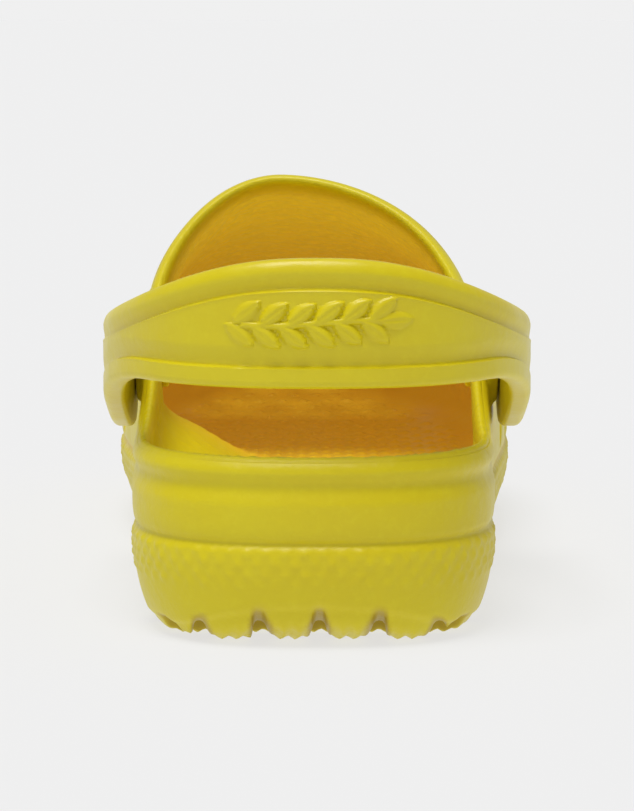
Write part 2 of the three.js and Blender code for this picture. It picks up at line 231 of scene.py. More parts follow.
def form(x, y, z, inset):
    """Near-distance to the closed form of the clog, drawn in by inset; below 0 is inside."""
    a, ax, ay = gauge(x, y, inset)
    low = wall_top_z(y)
    height = crown_z(y) - inset - low
    b = np.maximum((z - low) / height, 0)
    low_slope = slope_of(wall_top_z, y)
    b_y = -(low_slope + b * (slope_of(crown_z, y) - low_slope)) / height
    anchor = np.clip(y, HEEL_Y, BALL_Y)
    m = roundness(x > spine_x(anchor), anchor)
    s = (a**m + b**m) ** (1 / m)
    grow_a = (a / s) ** (m - 1)
    grow_b = (b / s) ** (m - 1)
    grow = np.sqrt((grow_a * ax) ** 2 + (grow_a * ay + grow_b * b_y) ** 2 + (grow_b / height) ** 2)
    return (s - 1) / grow


def dome_z(x, y):
    share = np.clip(gauge(x, y)[0], 0, 1)
    anchor = np.clip(y, HEEL_Y, BALL_Y)
    n = roundness(x > spine_x(anchor), anchor)
    return mix(wall_top_z(y), crown_z(y), (1 - share**n) ** (1 / n))


def wall_x(side, y, z):
    b = np.clip((z - wall_top_z(y)) / (crown_z(y) - wall_top_z(y)), 0, 1)
    n = roundness(side > 0, y)
    return mix(spine_x(y), outline_x(side, y), (1 - b**n) ** (1 / n))


def bevel_z(y):
    """How far the sole turns up at the back edge of the heel."""
    return BEVEL_RISE * np.maximum(1 - y / BEVEL_REACH, 0) ** 1.6


def bed_z(x, y):
    t = (y - HEEL_Y) / (BALL_Y - HEEL_Y)
    bed = mix(HEEL_BED, BALL_BED, smooth(t)) + spring(y)
    arch = np.sin(np.pi * np.clip(t, 0, 1)) ** 2 * smooth((-x - 8) / (HEEL_WIDTH / 2 - WALL - 8))
    return bed + ARCH_RISE * arch + BED_CUP * np.clip(gauge(x, y)[0], 0, 1) ** 4


def sole_edge(y, up):
    """How far the lower edge of the sole draws in, and how steeply, at a height over the ground line."""
    deepest = mix(SOLE_INSET_HEEL, SOLE_INSET_BALL, smooth((y - HEEL_Y) / (BALL_Y - HEEL_Y)))
    u = np.clip(1 - up / SOLE_ROUND_HEIGHT, 0, 0.985)
    n = SOLE_ROUNDNESS
    rest = 1 - u**n
    inset = deepest * (1 - rest ** (1 / n))
    slope = deepest * rest ** (1 / n - 1) * u ** (n - 1) / SOLE_ROUND_HEIGHT
    return inset, slope


# ---- The moulding as one field ----

RIVET_Z = float(collar_z(RIVET_Y)) - RIVET_DROP
END_TURNS = [i * math.pi / 8 for i in range(5)]  # round the strap's end, from under the rivet to the front


def wall_reach(side, turn):
    """How far the side wall reaches out at a place behind the strap's rounded end."""
    y = RIVET_Y + STRAP_END_RADIUS * math.sin(turn)
    return abs(float(wall_x(side, y, RIVET_Z - STRAP_END_RADIUS * math.cos(turn))) - STRAP_OFFSET)


BOSS_FACE = max(wall_reach(side, turn) for side in (1, -1) for turn in END_TURNS) + BOSS_STANDOFF
CAP_SEAT = BOSS_FACE - BOSS_THICKNESS
STRAP_INNER = BOSS_FACE + RUNNING_GAP
STRAP_OUTER = STRAP_INNER + STRAP_THICKNESS

BAND_DROP = 7.8  # from the collar's edge down to the groove that follows it
BAND_DEPTH = 1.2
LIP_DEPTH = {"heel": 1.7, "throat": 0.7}  # how far the collar's edge leans in
COLLAR_ROUND = {"heel": 5.2, "throat": 3.2}  # rounding of the collar's edge
MIDSOLE_Z = 23.8  # the groove round the sole
TREAD_LINE = 4.6  # where the lugs begin
LUG_REACH = 9.0  # no lug groove is farther away than this
RIB_PITCH = 3.3
RIB_DEPTH = 1.0
BED_ROUND = 8  # rounding where the footbed meets the side wall


def collar_field(y, z):
    return (z - collar_z(y)) / np.sqrt(1 + collar_slope(y) ** 2)


def outer_relief(y, z, collar):
    """How far the outer skin is drawn in by its moulded bands and grooves."""
    below = -collar
    up = z - spring(y)
    above_groove = smooth((below - BAND_DROP + 3) / 3)
    under_groove = 1 - smooth((below - BAND_DROP) / 4.6)
    roll = np.where(below < BAND_DROP, above_groove, under_groove)
    lip = 1 - smooth((below + 1) / 6)
    sole = 0.75 * bell(up - MIDSOLE_Z, 0.8) + 0.45 * bell(up - MIDSOLE_Z, 2.6)
    lugs = 0.7 * smooth((TREAD_LINE + bevel_z(y) - up) / 1.4)
    lip_depth = mix(LIP_DEPTH["heel"], LIP_DEPTH["throat"], smooth((y - 60) / 60))
    return BAND_DEPTH * roll + lip_depth * lip + sole + lugs


def cylinder_field(p, centre, direction, radius):
    """Distance to an endless cylinder."""
    d = [q - c for q, c in zip(p, centre)]
    along = sum(a * b for a, b in zip(d, direction))
    square = sum(a * a for a in d) - along * along
    return np.sqrt(np.maximum(square, 0)) - radius, along


def tread_field(x, y, up):
    """The grooves between the lugs; below 0 is open."""
    heel_end = 3.5 * LUG_ALONG
    fore_start = THROAT_Y - LUG_ALONG
    top = TREAD_DEPTH + bevel_z(y)
    depth = np.clip(top - up, 0, 6)
    steep = GROOVE_WIDTH / 3.6 + 0.14 * depth
    swept = GROOVE_WIDTH / 3.6 + 0.1 * depth + 0.1 * depth**2
    field = LUG_REACH
    # The second row of heel lugs stands behind the gaps of the first.
    whole, between = (-2, -1, 0, 1, 2), (-1.5, -0.5, 0.5, 1.5)
    fields = ((-LUG_REACH, LUG_ALONG, whole), (LUG_ALONG, heel_end, between), (fore_start, LENGTH, whole))
    for start, stop, columns in fields:
        if y.max() < start or y.min() > stop:
            continue
        beyond = np.maximum(start - y, y - stop)
        for column in columns:
            from_middle = x - LUG_CENTRE - column * LUG_ACROSS
            if column == 0:
                groove = np.abs(from_middle) - (steep + swept) / 2
            else:
                to_centre = -from_middle * np.sign(column)
                groove = np.maximum(-to_centre - steep, (to_centre - swept) / 1.3)
            groove = np.maximum(soft_max(groove, up - top, 1.4), beyond)
            field = np.minimum(field, groove)
    heel_lines = np.arange(LUG_ALONG, heel_end, LUG_ALONG)
    fore_lines = np.arange(fore_start, LENGTH - LUG_ALONG, LUG_ALONG)
    for line in (*heel_lines, *fore_lines):
        if y.max() < line - 8 or y.min() > line + 8:
            continue
        half_width = GROOVE_WIDTH / 2 + 0.1 * np.maximum(TREAD_DEPTH - up, 0)
        field = np.minimum(field, soft_max(np.abs(y - line) - half_width, up - TREAD_DEPTH, 1.6))
    return field


def vent_places():
    for row, count in enumerate(VENT_ROWS):
        y = THROAT_Y + VENT_SETBACK + row * VENT_ALONG
        for i in range(count):
            x = float(spine_x(y)) + (i - (count - 1) / 2) * VENT_ACROSS
            slope_x = float(dome_z(x + 1, y) - dome_z(x - 1, y)) / 2
            slope_y = float(dome_z(x, y + 1) - dome_z(x, y - 1)) / 2
            normal = Vector((-slope_x, -slope_y, 1)).normalized()
            yield (x, y, float(dome_z(x, y))), tuple(normal)


def port_places():
    """Each port's centre and the direction that it faces, in plan."""
    for side in (1, -1):
        for y in PORT_SIDES[side]:
            slope = float(outline_x(side, y + 1) - outline_x(side, y - 1))
            turn = math.atan2(-slope, 2)
            yield (float(wall_x(side, y, PORT_Z)), y, PORT_Z), (math.cos(turn), math.sin(turn))
        n = TOE_OUTER if side > 0 else TOE_INNER
        half = abs(float(outline_x(side, BALL_Y) - spine_x(BALL_Y)))
        for degrees in PORT_TOE_ANGLES:
            angle = math.radians(degrees)
            x = float(spine_x(BALL_Y)) + side * (half - WALL) * math.cos(angle) ** (2 / n)
            y = BALL_Y + (LENGTH - BALL_Y - WALL) * math.sin(angle) ** (2 / n)
            yield (x, y, PORT_Z + float(spring(y))), (math.cos(side * angle), math.sin(side * angle))


VENTS = list(vent_places())
PORTS = list(port_places())


def shell_field(x, y, z):
    """Near-distance to the whole moulding; below 0 is foam."""
    rise = spring(y)
    up = z - rise
    inset, slope = sole_edge(y, up)
    collar = collar_field(y, z)
    outer = (form(x, y, z, 0) + inset) / np.sqrt(1 + slope**2) + outer_relief(y, z, collar)
    zigzag = 1.2 * (np.abs((y / 7) % 2 - 1) - 0.5)
    ribs = RIB_DEPTH * np.abs(((x - LUG_CENTRE + zigzag) / RIB_PITCH * 2) % 2 - 1)
    bevel = bevel_z(y)
    under = (bevel + ribs - up) / np.sqrt(1 + slope_of(bevel_z, y) ** 2)
    outer = soft_max(outer, under, 1.6)
    outer = soft_max(outer, -tread_field(x, y, up), 1.2)
    cavity = soft_max(form(x, y, z, WALL), bed_z(x, y) - z, BED_ROUND)
    shell = np.maximum(outer, -cavity)
    if y.min() < RIVET_Y + 2 * BOSS_RADIUS and y.max() > RIVET_Y - 2 * BOSS_RADIUS:
        from_axis = np.hypot(y - RIVET_Y, z - RIVET_Z)
        for side in (1, -1):
            reach = side * (x - STRAP_OFFSET)
            boss_length = np.abs(reach - (CAP_SEAT + BOSS_FACE) / 2) - BOSS_THICKNESS / 2
            boss = soft_max(from_axis - BOSS_RADIUS, boss_length, 1.2)
            shell = soft_min(shell, boss, 2.5)
            seat_length = np.abs(reach - CAP_SEAT + 2 * WALL) - 2 * WALL
            seat = np.maximum(from_axis - CAP_RADIUS - 2 * CLEARANCE, seat_length)
            shell = soft_max(shell, -seat, 0.8)
            hole = np.maximum(from_axis - STEM_RADIUS - CLEARANCE, -reach)
            shell = soft_max(shell, -hole, 0.6)
    collar_round = mix(COLLAR_ROUND["heel"], COLLAR_ROUND["throat"], smooth((y - 90) / 50))
    shell = soft_max(shell, collar, collar_round)
    span = 5 * WALL
    for centre, direction in VENTS:
        if y.min() < centre[1] + span and y.max() > centre[1] - span:
            vent, along = cylinder_field((x, y, z), centre, direction, VENT_RADIUS)
            shell = soft_max(shell, -np.maximum(vent, np.abs(along) - 3 * WALL), 1.2)
    for centre, (cos, sin) in PORTS:
        if y.min() < centre[1] + span and y.max() > centre[1] - span:
            out = (x - centre[0]) * cos + (y - centre[1]) * sin
            u = ((y - centre[1]) * cos - (x - centre[0]) * sin) / (PORT_WIDTH / 2)
            v = (z - centre[2]) / (PORT_HEIGHT / 2)
            q = np.sqrt(u * u + v * v) + 1e-6
            port = (q - 1) * q / np.sqrt((u / (PORT_WIDTH / 2)) ** 2 + (v / (PORT_HEIGHT / 2)) ** 2 + 1e-9)
            shell = soft_max(shell, -np.maximum(port, np.abs(out) - 2.5 * WALL), 1.4)
    return shell


# ---- Meshes from fields ----


def surface_of(field, low, high, step):
    """Points and outward quads of the surface where a field is 0, one point per grid cell that it crosses."""
    axes = [np.arange(a, b + step, step) for a, b in zip(low, high)]
    value = np.empty([len(a) for a in axes], np.float32)
    slab = 20
    for j in range(0, len(axes[1]), slab):
        part = axes[1][None, j : j + slab, None]
        value[:, j : j + slab] = field(axes[0][:, None, None], part, axes[2][None, None, :])
    inside = value < 0
    corners = [(i, j, k) for i in (0, 1) for j in (0, 1) for k in (0, 1)]
    size = [n - 1 for n in value.shape]

    def at(corner):
        return tuple(slice(c, c + n) for c, n in zip(corner, size))

    count = sum(inside[at(c)].astype(np.int8) for c in corners)
    cells = np.argwhere((count > 0) & (count < 8))
    total = np.zeros((len(cells), 3))
    hits = np.zeros(len(cells))
    for a in corners:
        for axis in range(3):
            if a[axis]:
                continue
            b = tuple(c + (n == axis) for n, c in enumerate(a))
            first = value[tuple((cells + a).T)]
            second = value[tuple((cells + b).T)]
            cross = (first < 0) != (second < 0)
            share = first[cross] / (first[cross] - second[cross])
            place = np.tile(np.array(a, float), (len(share), 1))
            place[:, axis] += share
            total[cross] += place
            hits[cross] += 1
    points = np.array(low) + step * (cells + total / hits[:, None])
    index = np.full(size, -1, np.int32)
    index[tuple(cells.T)] = np.arange(len(cells))
    quads = []
    for axis in range(3):
        u, v = (axis + 1) % 3, (axis + 2) % 3
        here = [slice(None)] * 3
        after = [slice(None)] * 3
        here[axis], after[axis] = slice(0, -1), slice(1, None)
        first = inside[tuple(here)]
        edges = np.argwhere(first != inside[tuple(after)])
        ring = []
        for du, dv in ((-1, -1), (0, -1), (0, 0), (-1, 0)):
            cell = edges.copy()
            cell[:, u] += du
            cell[:, v] += dv
            ring.append(index[tuple(cell.T)])
        ring = np.stack(ring, 1)
        outward = first[tuple(edges.T)]
        quads += [ring[outward], ring[~outward][:, ::-1]]
    return points, np.concatenate(quads)


def slopes(field, points, reach=0.05):
    """Field values and unit normals at points."""
    value = field(*points.T)
    steps = []
    for axis in range(3):
        moved = points.copy()
        moved[:, axis] += reach
        steps.append((field(*moved.T) - value) / reach)
    normal = np.stack(steps, 1)
    length = np.maximum(np.linalg.norm(normal, axis=1), 1e-6)
    return value / length, normal / length[:, None]


def settle(field, points, step, rounds=2):
    """Points moved on to the surface of a field."""
    for _ in range(rounds):
        distance, normal = slopes(field, points)
        points = points - np.clip(distance, -step, step)[:, None] * normal
    return points


def new_object(name, points, faces, smooth_shade=True):
    """A mesh object from points in the frame's metres and faces of one size."""
    faces = np.asarray(faces, np.int32)
    mesh = bpy.data.meshes.new(name)
    mesh.vertices.add(len(points))
    mesh.vertices.foreach_set("co", np.asarray(points, np.float32).ravel())
    mesh.loops.add(faces.size)
    mesh.loops.foreach_set("vertex_index", faces.ravel())
    mesh.polygons.add(len(faces))
    mesh.polygons.foreach_set("loop_start", np.arange(0, faces.size, faces.shape[1], dtype=np.int32))
    mesh.update(calc_edges=True)
    mesh.validate()
    if smooth_shade:
        mesh.shade_smooth()
    made = bpy.data.objects.new(name, mesh)
    bpy.context.collection.objects.link(made)
    return made


def add_attribute(made, name, values):
    layer = made.data.attributes.new(name, "FLOAT", "POINT")
    layer.data.foreach_set("value", np.asarray(values, np.float32))


# ---- Fine relief of the moulding ----


def hashed(*cells):
    """An even spread of numbers from 0 to 1, one for each whole-number cell."""
    mixed = sum(np.sin(c * k) * 43758.5453 for c, k in zip(cells, (12.9898, 78.233, 37.719)))
    return mixed - np.floor(mixed)


def round_outline(x, y):
    """Distance round the heel and along the sides from the middle of the back."""
    turn = np.arctan2(x, np.maximum(HEEL_Y - y, 0))
    angles = np.linspace(0, np.pi / 2, 200)
    n = 2 / HEEL_ROUNDNESS
    px, py = HEEL_Y * np.sin(angles) ** n, HEEL_Y * np.cos(angles) ** n
    arc = np.concatenate([[0], np.cumsum(np.hypot(np.diff(px), np.diff(py)))])
    heel = np.interp(np.abs(turn), np.arctan2(px, py), arc)
    toe_turn = np.arctan2(np.maximum(y - BALL_Y, 0), np.abs(x))
    side = np.clip(y, HEEL_Y, BALL_Y) - HEEL_Y
    return np.sign(x) * (heel + side + toe_turn * BALL_WIDTH / 2)


def pebbles(x, y, z):
    """Upright oval pebbles in staggered rows on the band under the midsole groove."""
    pitch, row_height, first = 4.2, 2.45, 13.2
    around = round_outline(x, y)
    up = z - spring(y)
    total = np.zeros_like(x)
    base_row = np.floor((up - first) / row_height)
    for shift in (-1, 0, 1):
        row = base_row + shift
        stagger = 0.5 * pitch * (row % 2)
        column = np.round((around - stagger) / pitch)
        du = around - stagger - column * pitch + 0.5 * (hashed(column, row) - 0.5)
        dz = up - first - (row + 0.5) * row_height + 0.4 * (hashed(row, column) - 0.5)
        total += (0.7 + 0.5 * hashed(column + 7, row)) * bell(du, 0.95) * bell(dz, 1.0)
    band = smooth((up - first + 1) / 3) * smooth((MIDSOLE_Z - 0.9 - up) / 0.8)
    return 0.5 * total * band


def hammered(x, y, z):
    """Small flat blows over the lining, from the nearest of jittered cell centres."""
    size = np.array([3.4, 2.6, 2.6])
    p = np.stack([x, y, z], 1) / size
    cell = np.floor(p)
    nearest = np.full(len(p), 9.0)
    for i in (-1, 0, 1):
        for j in (-1, 0, 1):
            for k in (-1, 0, 1):
                c = cell + (i, j, k)
                jitter = np.stack([hashed(c[:, 0] + s, c[:, 1], c[:, 2]) for s in (0, 19, 41)], 1)
                nearest = np.minimum(nearest, ((c + jitter - p) ** 2).sum(1))
    return 0.7 * (0.5 - np.minimum(np.sqrt(nearest), 1))


def nubs(x, y):
    """Low round nubs on the footbed, in staggered rows."""
    pitch = 6.5
    row = np.round(y / (pitch * 0.87))
    across = x - 0.5 * pitch * (row % 2)
    dx = across - np.round(across / pitch) * pitch
    dy = y - row * pitch * 0.87
    return 0.6 * smooth(1.5 - np.hypot(dx, dy) / 1.1)


def make_shell():
    low = (-BALL_WIDTH / 2 - 3, -3, -3)
    high = (BALL_WIDTH / 2 + 3, LENGTH + 3, THROAT_HEIGHT + 3)
    points, quads = surface_of(shell_field, low, high, VOXEL)
    points = settle(shell_field, points, VOXEL)
    _, normal = slopes(shell_field, points)
    x, y, z = points.T
    up = z - spring(y)
    outside = smooth(1 + (form(x, y, z, 0) + sole_edge(y, up)[0]) / 2.2)
    share = gauge(x, y, WALL)[0]
    over_bed = z - bed_z(x, y)
    lining = (1 - outside) * smooth((over_bed - 2.5) / 3) * smooth((0.6 - np.abs(form(x, y, z, WALL))) / 0.4)
    lining *= smooth((-collar_field(y, z) - 5) / 5)
    bed = smooth((1.2 - over_bed) / 0.8) * (over_bed > -2) * smooth((0.86 - share) / 0.05)
    arch = smooth((-x - 12) / 8) * np.sin(np.pi * np.clip((y - HEEL_Y) / (BALL_Y - HEEL_Y), 0, 1))
    bed *= 1 - 0.85 * arch
    relief = outside * pebbles(x, y, z) + lining * hammered(x, y, z) + bed * nubs(x, y)
    shell = new_object("moulded_clog", to_frame(points + relief[:, None] * normal), quads)
    add_attribute(shell, "below_rim", -collar_field(y, z))
    add_attribute(shell, "up", up)
    add_attribute(shell, "outside", outside)
    add_attribute(shell, "lining", lining)
    # Painted shade: this mask marks the tread notches for a brown darkening that paints the shade inside
    # them.
    add_attribute(shell, "painted_notch_shade", (1 - smooth(np.abs(tread_field(x, y, up)) / 0.9)) * smooth((y - 1.5) / 4))
    # Painted bounce light: this mask marks the inside of the upper, towards the toe and away from the collar,
    # where an orange tint and a glow are painted.
    away_from_collar = smooth((-collar_field(y, z) - 2) / 10)
    add_attribute(shell, "painted_bounce", (1 - outside) * smooth((y - 85) / 80) * away_from_collar)
    return shell


# ---- Heel strap ----

STRIP = 6.8  # width of the band along the strap's top edge
LOWER_STRIP = 4.9


def strap_edges(y):
    half = np.sqrt(np.maximum(0, STRAP_END_RADIUS**2 - np.maximum(y - RIVET_Y, 0) ** 2))
    end_top = RIVET_Z + STRAP_END_RADIUS
    fade = (STRAP_BEND_Y - STRAP_BACK_Y) * 0.53
    decay = np.exp((STRAP_BACK_Y - y) / fade)
    decay_end = math.exp((STRAP_BACK_Y - RIVET_Y) / fade)
    top = mix(end_top, STRAP_TOP_BACK, (decay - decay_end) / (1 - decay_end))
    dip = smooth((y - STRAP_DROP_Y) / (RIVET_Y - STRAP_DROP_Y))
    bottom = mix(STRAP_BOTTOM_BACK, RIVET_Z - STRAP_END_RADIUS, dip)
    past = y > RIVET_Y
    return np.where(past, RIVET_Z + half, top), np.where(past, RIVET_Z - half, bottom)


def strap_path(step):
    """Evenly spaced points of the strap's outer face in plan, with normals and distances from the back."""
    tip = RIVET_Y + STRAP_END_RADIUS
    angle = np.linspace(0, np.pi / 2, 4000)
    n = STRAP_ROUNDNESS
    depth = STRAP_BEND_Y - STRAP_BACK_Y
    x = STRAP_OUTER * np.sin(angle) ** (2 / n)
    y = STRAP_BEND_Y - depth * np.cos(angle) ** (2 / n)
    x = np.concatenate([x, [STRAP_OUTER]])
    y = np.concatenate([y, [tip]])
    arc = np.concatenate([[0], np.cumsum(np.hypot(np.diff(x), np.diff(y)))])
    straight = tip - STRAP_BEND_Y
    # The rounded tip needs closer stations where its outline turns upright.
    even = np.linspace(0, arc[-1] - straight, int((arc[-1] - straight) / step) + 1)
    run_count = int((straight - STRAP_END_RADIUS) / step) + 1
    run = np.linspace(arc[-1] - straight, arc[-1] - STRAP_END_RADIUS, run_count)[1:]
    tip_turn = np.linspace(0, np.pi / 2, 34)[1:]
    end = arc[-1] - STRAP_END_RADIUS + STRAP_END_RADIUS * np.sin(tip_turn)
    end[-1] -= 2e-3
    place = np.concatenate([even, run, end])
    px, py = np.interp(place, arc, x), np.interp(place, arc, y)
    u = np.clip(px / STRAP_OUTER, 0, 1)
    v = np.clip((STRAP_BEND_Y - py) / depth, 0, 1)
    nx, ny = u ** (n - 1) / STRAP_OUTER, -(v ** (n - 1)) / depth
    size = np.hypot(nx, ny)
    nx, ny = nx / size, ny / size

    def both(values, sign=1):
        return np.concatenate([sign * values[:0:-1], values])

    return both(px, -1), both(py), both(nx, -1), both(ny), both(place, -1)


def leaf_relief(u, w, root, angle, length, width):
    """A raised pointed leaf in the plane (u, w)."""
    cos, sin = math.cos(angle), math.sin(angle)
    along = ((u - root[0]) * cos + (w - root[1]) * sin) / length
    across = -(u - root[0]) * sin + (w - root[1]) * cos
    half = width / 2 * np.maximum(np.sin(np.pi * np.clip(along, 0, 1)), 1e-4) ** 0.8
    crown = 1 - (across / half) ** 2
    vein = 0.25 * bell(across, 0.28) * smooth(8 * along) * smooth(8 * (1 - along))
    inside = (along > 0) & (along < 1)
    return np.where(inside, np.sqrt(np.maximum(crown, 0)) - vein, 0) * smooth(half * 2)


def sprig(u, w):
    """A generic leafy sprig lying along the strap: a stem with paired leaves."""
    reach = 21.7
    bend = 0.6 * np.sin(u / reach * np.pi)
    stem = 0.8 * np.sqrt(np.maximum(1 - ((w - bend) / 0.8) ** 2, 0))
    total = np.where(np.abs(u) < reach - 5, stem, 0)
    for i in range(6):
        root_u = -reach + 1.5 + i * 6.0
        root_w = 0.6 * math.sin(root_u / reach * math.pi)
        for side in (1, -1):
            start = (root_u + (1.4 if side > 0 else -0.4), root_w)
            total = np.maximum(total, leaf_relief(u, w, start, side * math.radians(37), 8.2, 3.9))
    tip = (reach - 8.2, 0.3)
    return np.maximum(total, leaf_relief(u, w, tip, 0.04, 8.2, 3.9))


def strap_relief(q, r, fade):
    """How far the outer face is drawn in, at q below the top edge and r above the bottom edge."""
    upper = 1.3 * smooth((q - 2.6) / (STRIP - 3.1)) * (1 - smooth((q - STRIP + 0.35) / 0.5))
    lower = 1.2 * smooth((r - LOWER_STRIP + 0.4) / 0.5) * (1 - smooth((r - LOWER_STRIP - 0.2) / 4.6))
    panel = 0.12 * smooth((q - STRIP) / 1) * smooth((r - LOWER_STRIP) / 1)
    return fade * (upper + lower + panel)


def make_strap():
    step = 0.55
    px, py, nx, ny, along = strap_path(step)
    top, bottom = strap_edges(py)
    height = top - bottom
    corner = 1.7
    outer_count = 96
    inner_count = 10
    share = np.linspace(0, 1, outer_count)
    turn = np.linspace(0, np.pi / 2, 7)
    columns = []  # each is (depth from the outer face, height)
    flat = np.ones_like(top)

    limit = np.minimum(1, height / (2 * corner))
    roll_limit = np.minimum(1, height / (2 * ROLL_HEIGHT))
    for t in share:  # outer face from the bottom corner to the top corner
        low_corner = corner * limit
        z = bottom + low_corner + t * (height - low_corner - ROLL_HEIGHT * roll_limit)
        columns.append([np.zeros_like(z), z])
    for t in turn[1:]:
        drop = ROLL_HEIGHT * roll_limit * (1 - np.sin(t))
        columns.append([ROLL_DEPTH * (1 - np.cos(t)) * flat, top - drop])
    inner_corner = 1.1
    for t in turn:
        drop = inner_corner * (1 - np.cos(t))
        columns.append([STRAP_THICKNESS - inner_corner * (1 - np.sin(t)) * flat, top - drop * limit])
    for t in np.linspace(0, 1, inner_count)[1:-1]:
        z = top - inner_corner * limit - t * (height - 2 * inner_corner * limit)
        columns.append([STRAP_THICKNESS * flat, z])
    for t in turn:
        drop = inner_corner * (1 - np.sin(t))
        columns.append([STRAP_THICKNESS - inner_corner * (1 - np.cos(t)) * flat, bottom + drop * limit])
    for t in turn[:-1]:
        rise = corner * (1 - np.cos(t))
        columns.append([corner * (1 - np.sin(t)) * flat, bottom + rise * limit])

    depth = np.stack([c[0] for c in columns], 1)
    z = np.stack([c[1] for c in columns], 1)
    q, r = top[:, None] - z, z - bottom[:, None]
    on_face = smooth((1.75 - depth) / 1.7)
    fade = (smooth((RIVET_Y - 12 - py) / 16) * mix(1, 0.3, smooth((py - 28) / 20)))[:, None]
    centre_z = (STRAP_TOP_BACK - STRIP + STRAP_BOTTOM_BACK + LOWER_STRIP) / 2 + 1.2
    emboss = 1.15 * sprig(along[:, None], z - centre_z) * smooth(1.3 - np.abs(along[:, None]) / 24)
    depth = depth + on_face * (strap_relief(q, r, fade) - emboss)
    x = STRAP_OFFSET + px[:, None] - nx[:, None] * depth
    y = py[:, None] - ny[:, None] * depth
    points = np.stack([x, y, z], 2)
    rows, ring = points.shape[:2]
    index = np.arange(rows * ring).reshape(rows, ring)
    around = np.roll(index, -1, 1)
    quads = np.stack([index[:-1], around[:-1], around[1:], index[1:]], -1).reshape(-1, 4)
    strap = new_object("heel_band", to_frame(points.reshape(-1, 3)), quads)
    close_ends(strap)
    bore_strap(strap)
    return strap


def close_ends(made):
    """Fills the open ends of a mesh and turns its faces outwards."""
    work = bmesh.new()
    work.from_mesh(made.data)
    rim = [e for e in work.edges if e.is_boundary]
    bmesh.ops.holes_fill(work, edges=rim, sides=0)
    bmesh.ops.remove_doubles(work, verts=work.verts, dist=2e-6)
    bmesh.ops.recalc_face_normals(work, faces=work.faces)
    work.to_mesh(made.data)
    work.free()
    made.data.shade_smooth()


def lathe(name, profile, side, segments=96):
    """A turned solid on the rivet line; the profile is (radius, distance from the strap's middle plane)."""
    profile = np.array(profile, float)
    turn = np.linspace(0, 2 * np.pi, segments, endpoint=False)
    reach = STRAP_OFFSET + side * profile[:, 1]
    x = np.repeat(reach[:, None], segments, 1)
    y = RIVET_Y + profile[:, :1] * np.cos(turn)
    z = RIVET_Z + profile[:, :1] * np.sin(turn)
    points = np.stack([x, y, z], 2)
    count = len(profile)
    index = np.arange(count * segments).reshape(count, segments)
    around = np.roll(index, -1, 1)
    quads = np.stack([index[:-1], around[:-1], around[1:], index[1:]], -1).reshape(-1, 4)
    made = new_object(name, to_frame(points.reshape(-1, 3)), quads)
    close_ends(made)
    return made


def cut_away(made, tool):
    """Takes a tool object's shape out of a mesh."""
    change = made.modifiers.new("cut", "BOOLEAN")
    change.operation = "DIFFERENCE"
    change.solver = "MANIFOLD"
    change.object = tool
    bpy.context.view_layer.update()
    result = bpy.data.meshes.new_from_object(made.evaluated_get(bpy.context.evaluated_depsgraph_get()))
    made.modifiers.clear()
    made.data = result
    bpy.data.objects.remove(tool)


def bore_strap(strap):
    for side in (1, -1):
        floor = STRAP_OUTER - BUTTON_RECESS
        wide = BUTTON_RADIUS + 2 * CLEARANCE
        hole = STEM_RADIUS + CLEARANCE
        soft = 0.5
        turns = [math.radians(a) for a in range(0, 91, 15)]
        mouth = [(wide + soft * (1 - math.cos(t)), STRAP_OUTER - soft + soft * math.sin(t)) for t in turns]
        profile = [
            (0, STRAP_INNER - 2),
            (hole, STRAP_INNER - 2),
            (hole, floor),
            (wide, floor),
            *mouth,
            (wide + soft, STRAP_OUTER + 3),
            (0, STRAP_OUTER + 3),
        ]
        profile = [(max(r, 1e-3), reach) for r, reach in profile]
        cut_away(strap, lathe("bore", profile, side))
    strap.data.materials.clear()
    strap.data.shade_smooth()
    strap.data.set_sharp_from_angle(angle=math.radians(40))


# ---- Rivets ----

HEAD_SEAT = STRAP_OUTER - BUTTON_RECESS + CLEARANCE
CAP_INSIDE = CAP_SEAT - CLEARANCE - CAP_THICKNESS
BARB = 0.6


def arc_points(centre, radius, start, stop, count):
    angles = np.radians(np.linspace(start, stop, count))
    return [(centre[0] + radius * math.cos(a), centre[1] + radius * math.sin(a)) for a in angles]


def dish_profile(radius, base, crown, ring):
    """A low domed face from rim to centre, with a shallow ring groove and a dimple in the middle."""
    places = np.linspace(1, 0, 60)[1:]
    points = []
    for share in places:
        r = share * radius
        rise = (crown - base) * (1 - share**2.6)
        groove = 0.22 * bell(r - ring, 0.35) + 0.3 * bell(r, 1.6)
        points.append((max(r, 1e-3), base + rise - groove))
    return points


def make_button(name, side):
    tip = CAP_INSIDE + 0.2
    face = HEAD_SEAT + BUTTON_THICKNESS
    shoulder = 0.55
    edge = HEAD_SEAT + BUTTON_THICKNESS * 0.35
    profile = [
        (1e-3, tip),
        (STEM_RADIUS * 0.55, tip),
        (STEM_RADIUS * 0.8, tip + 0.15),
        (STEM_RADIUS + BARB, tip + 0.75),
        (STEM_RADIUS + BARB, tip + 1),
        (STEM_RADIUS, tip + 1.1),
        (STEM_RADIUS, HEAD_SEAT - 0.2),
        (STEM_RADIUS + 0.2, HEAD_SEAT),
        (BUTTON_RADIUS - 0.3, HEAD_SEAT),
        *arc_points((BUTTON_RADIUS - 0.3, HEAD_SEAT + 0.3), 0.3, -90, 0, 4)[1:],
        *arc_points((BUTTON_RADIUS - shoulder, edge), shoulder, 0, 70, 8),
    ]
    rim_radius, rim_height = profile[-1]
    profile += dish_profile(rim_radius, rim_height, face, BUTTON_RADIUS * 0.62)
    made = lathe(name, profile, side)
    made.data.set_sharp_from_angle(angle=math.radians(50))
    return made


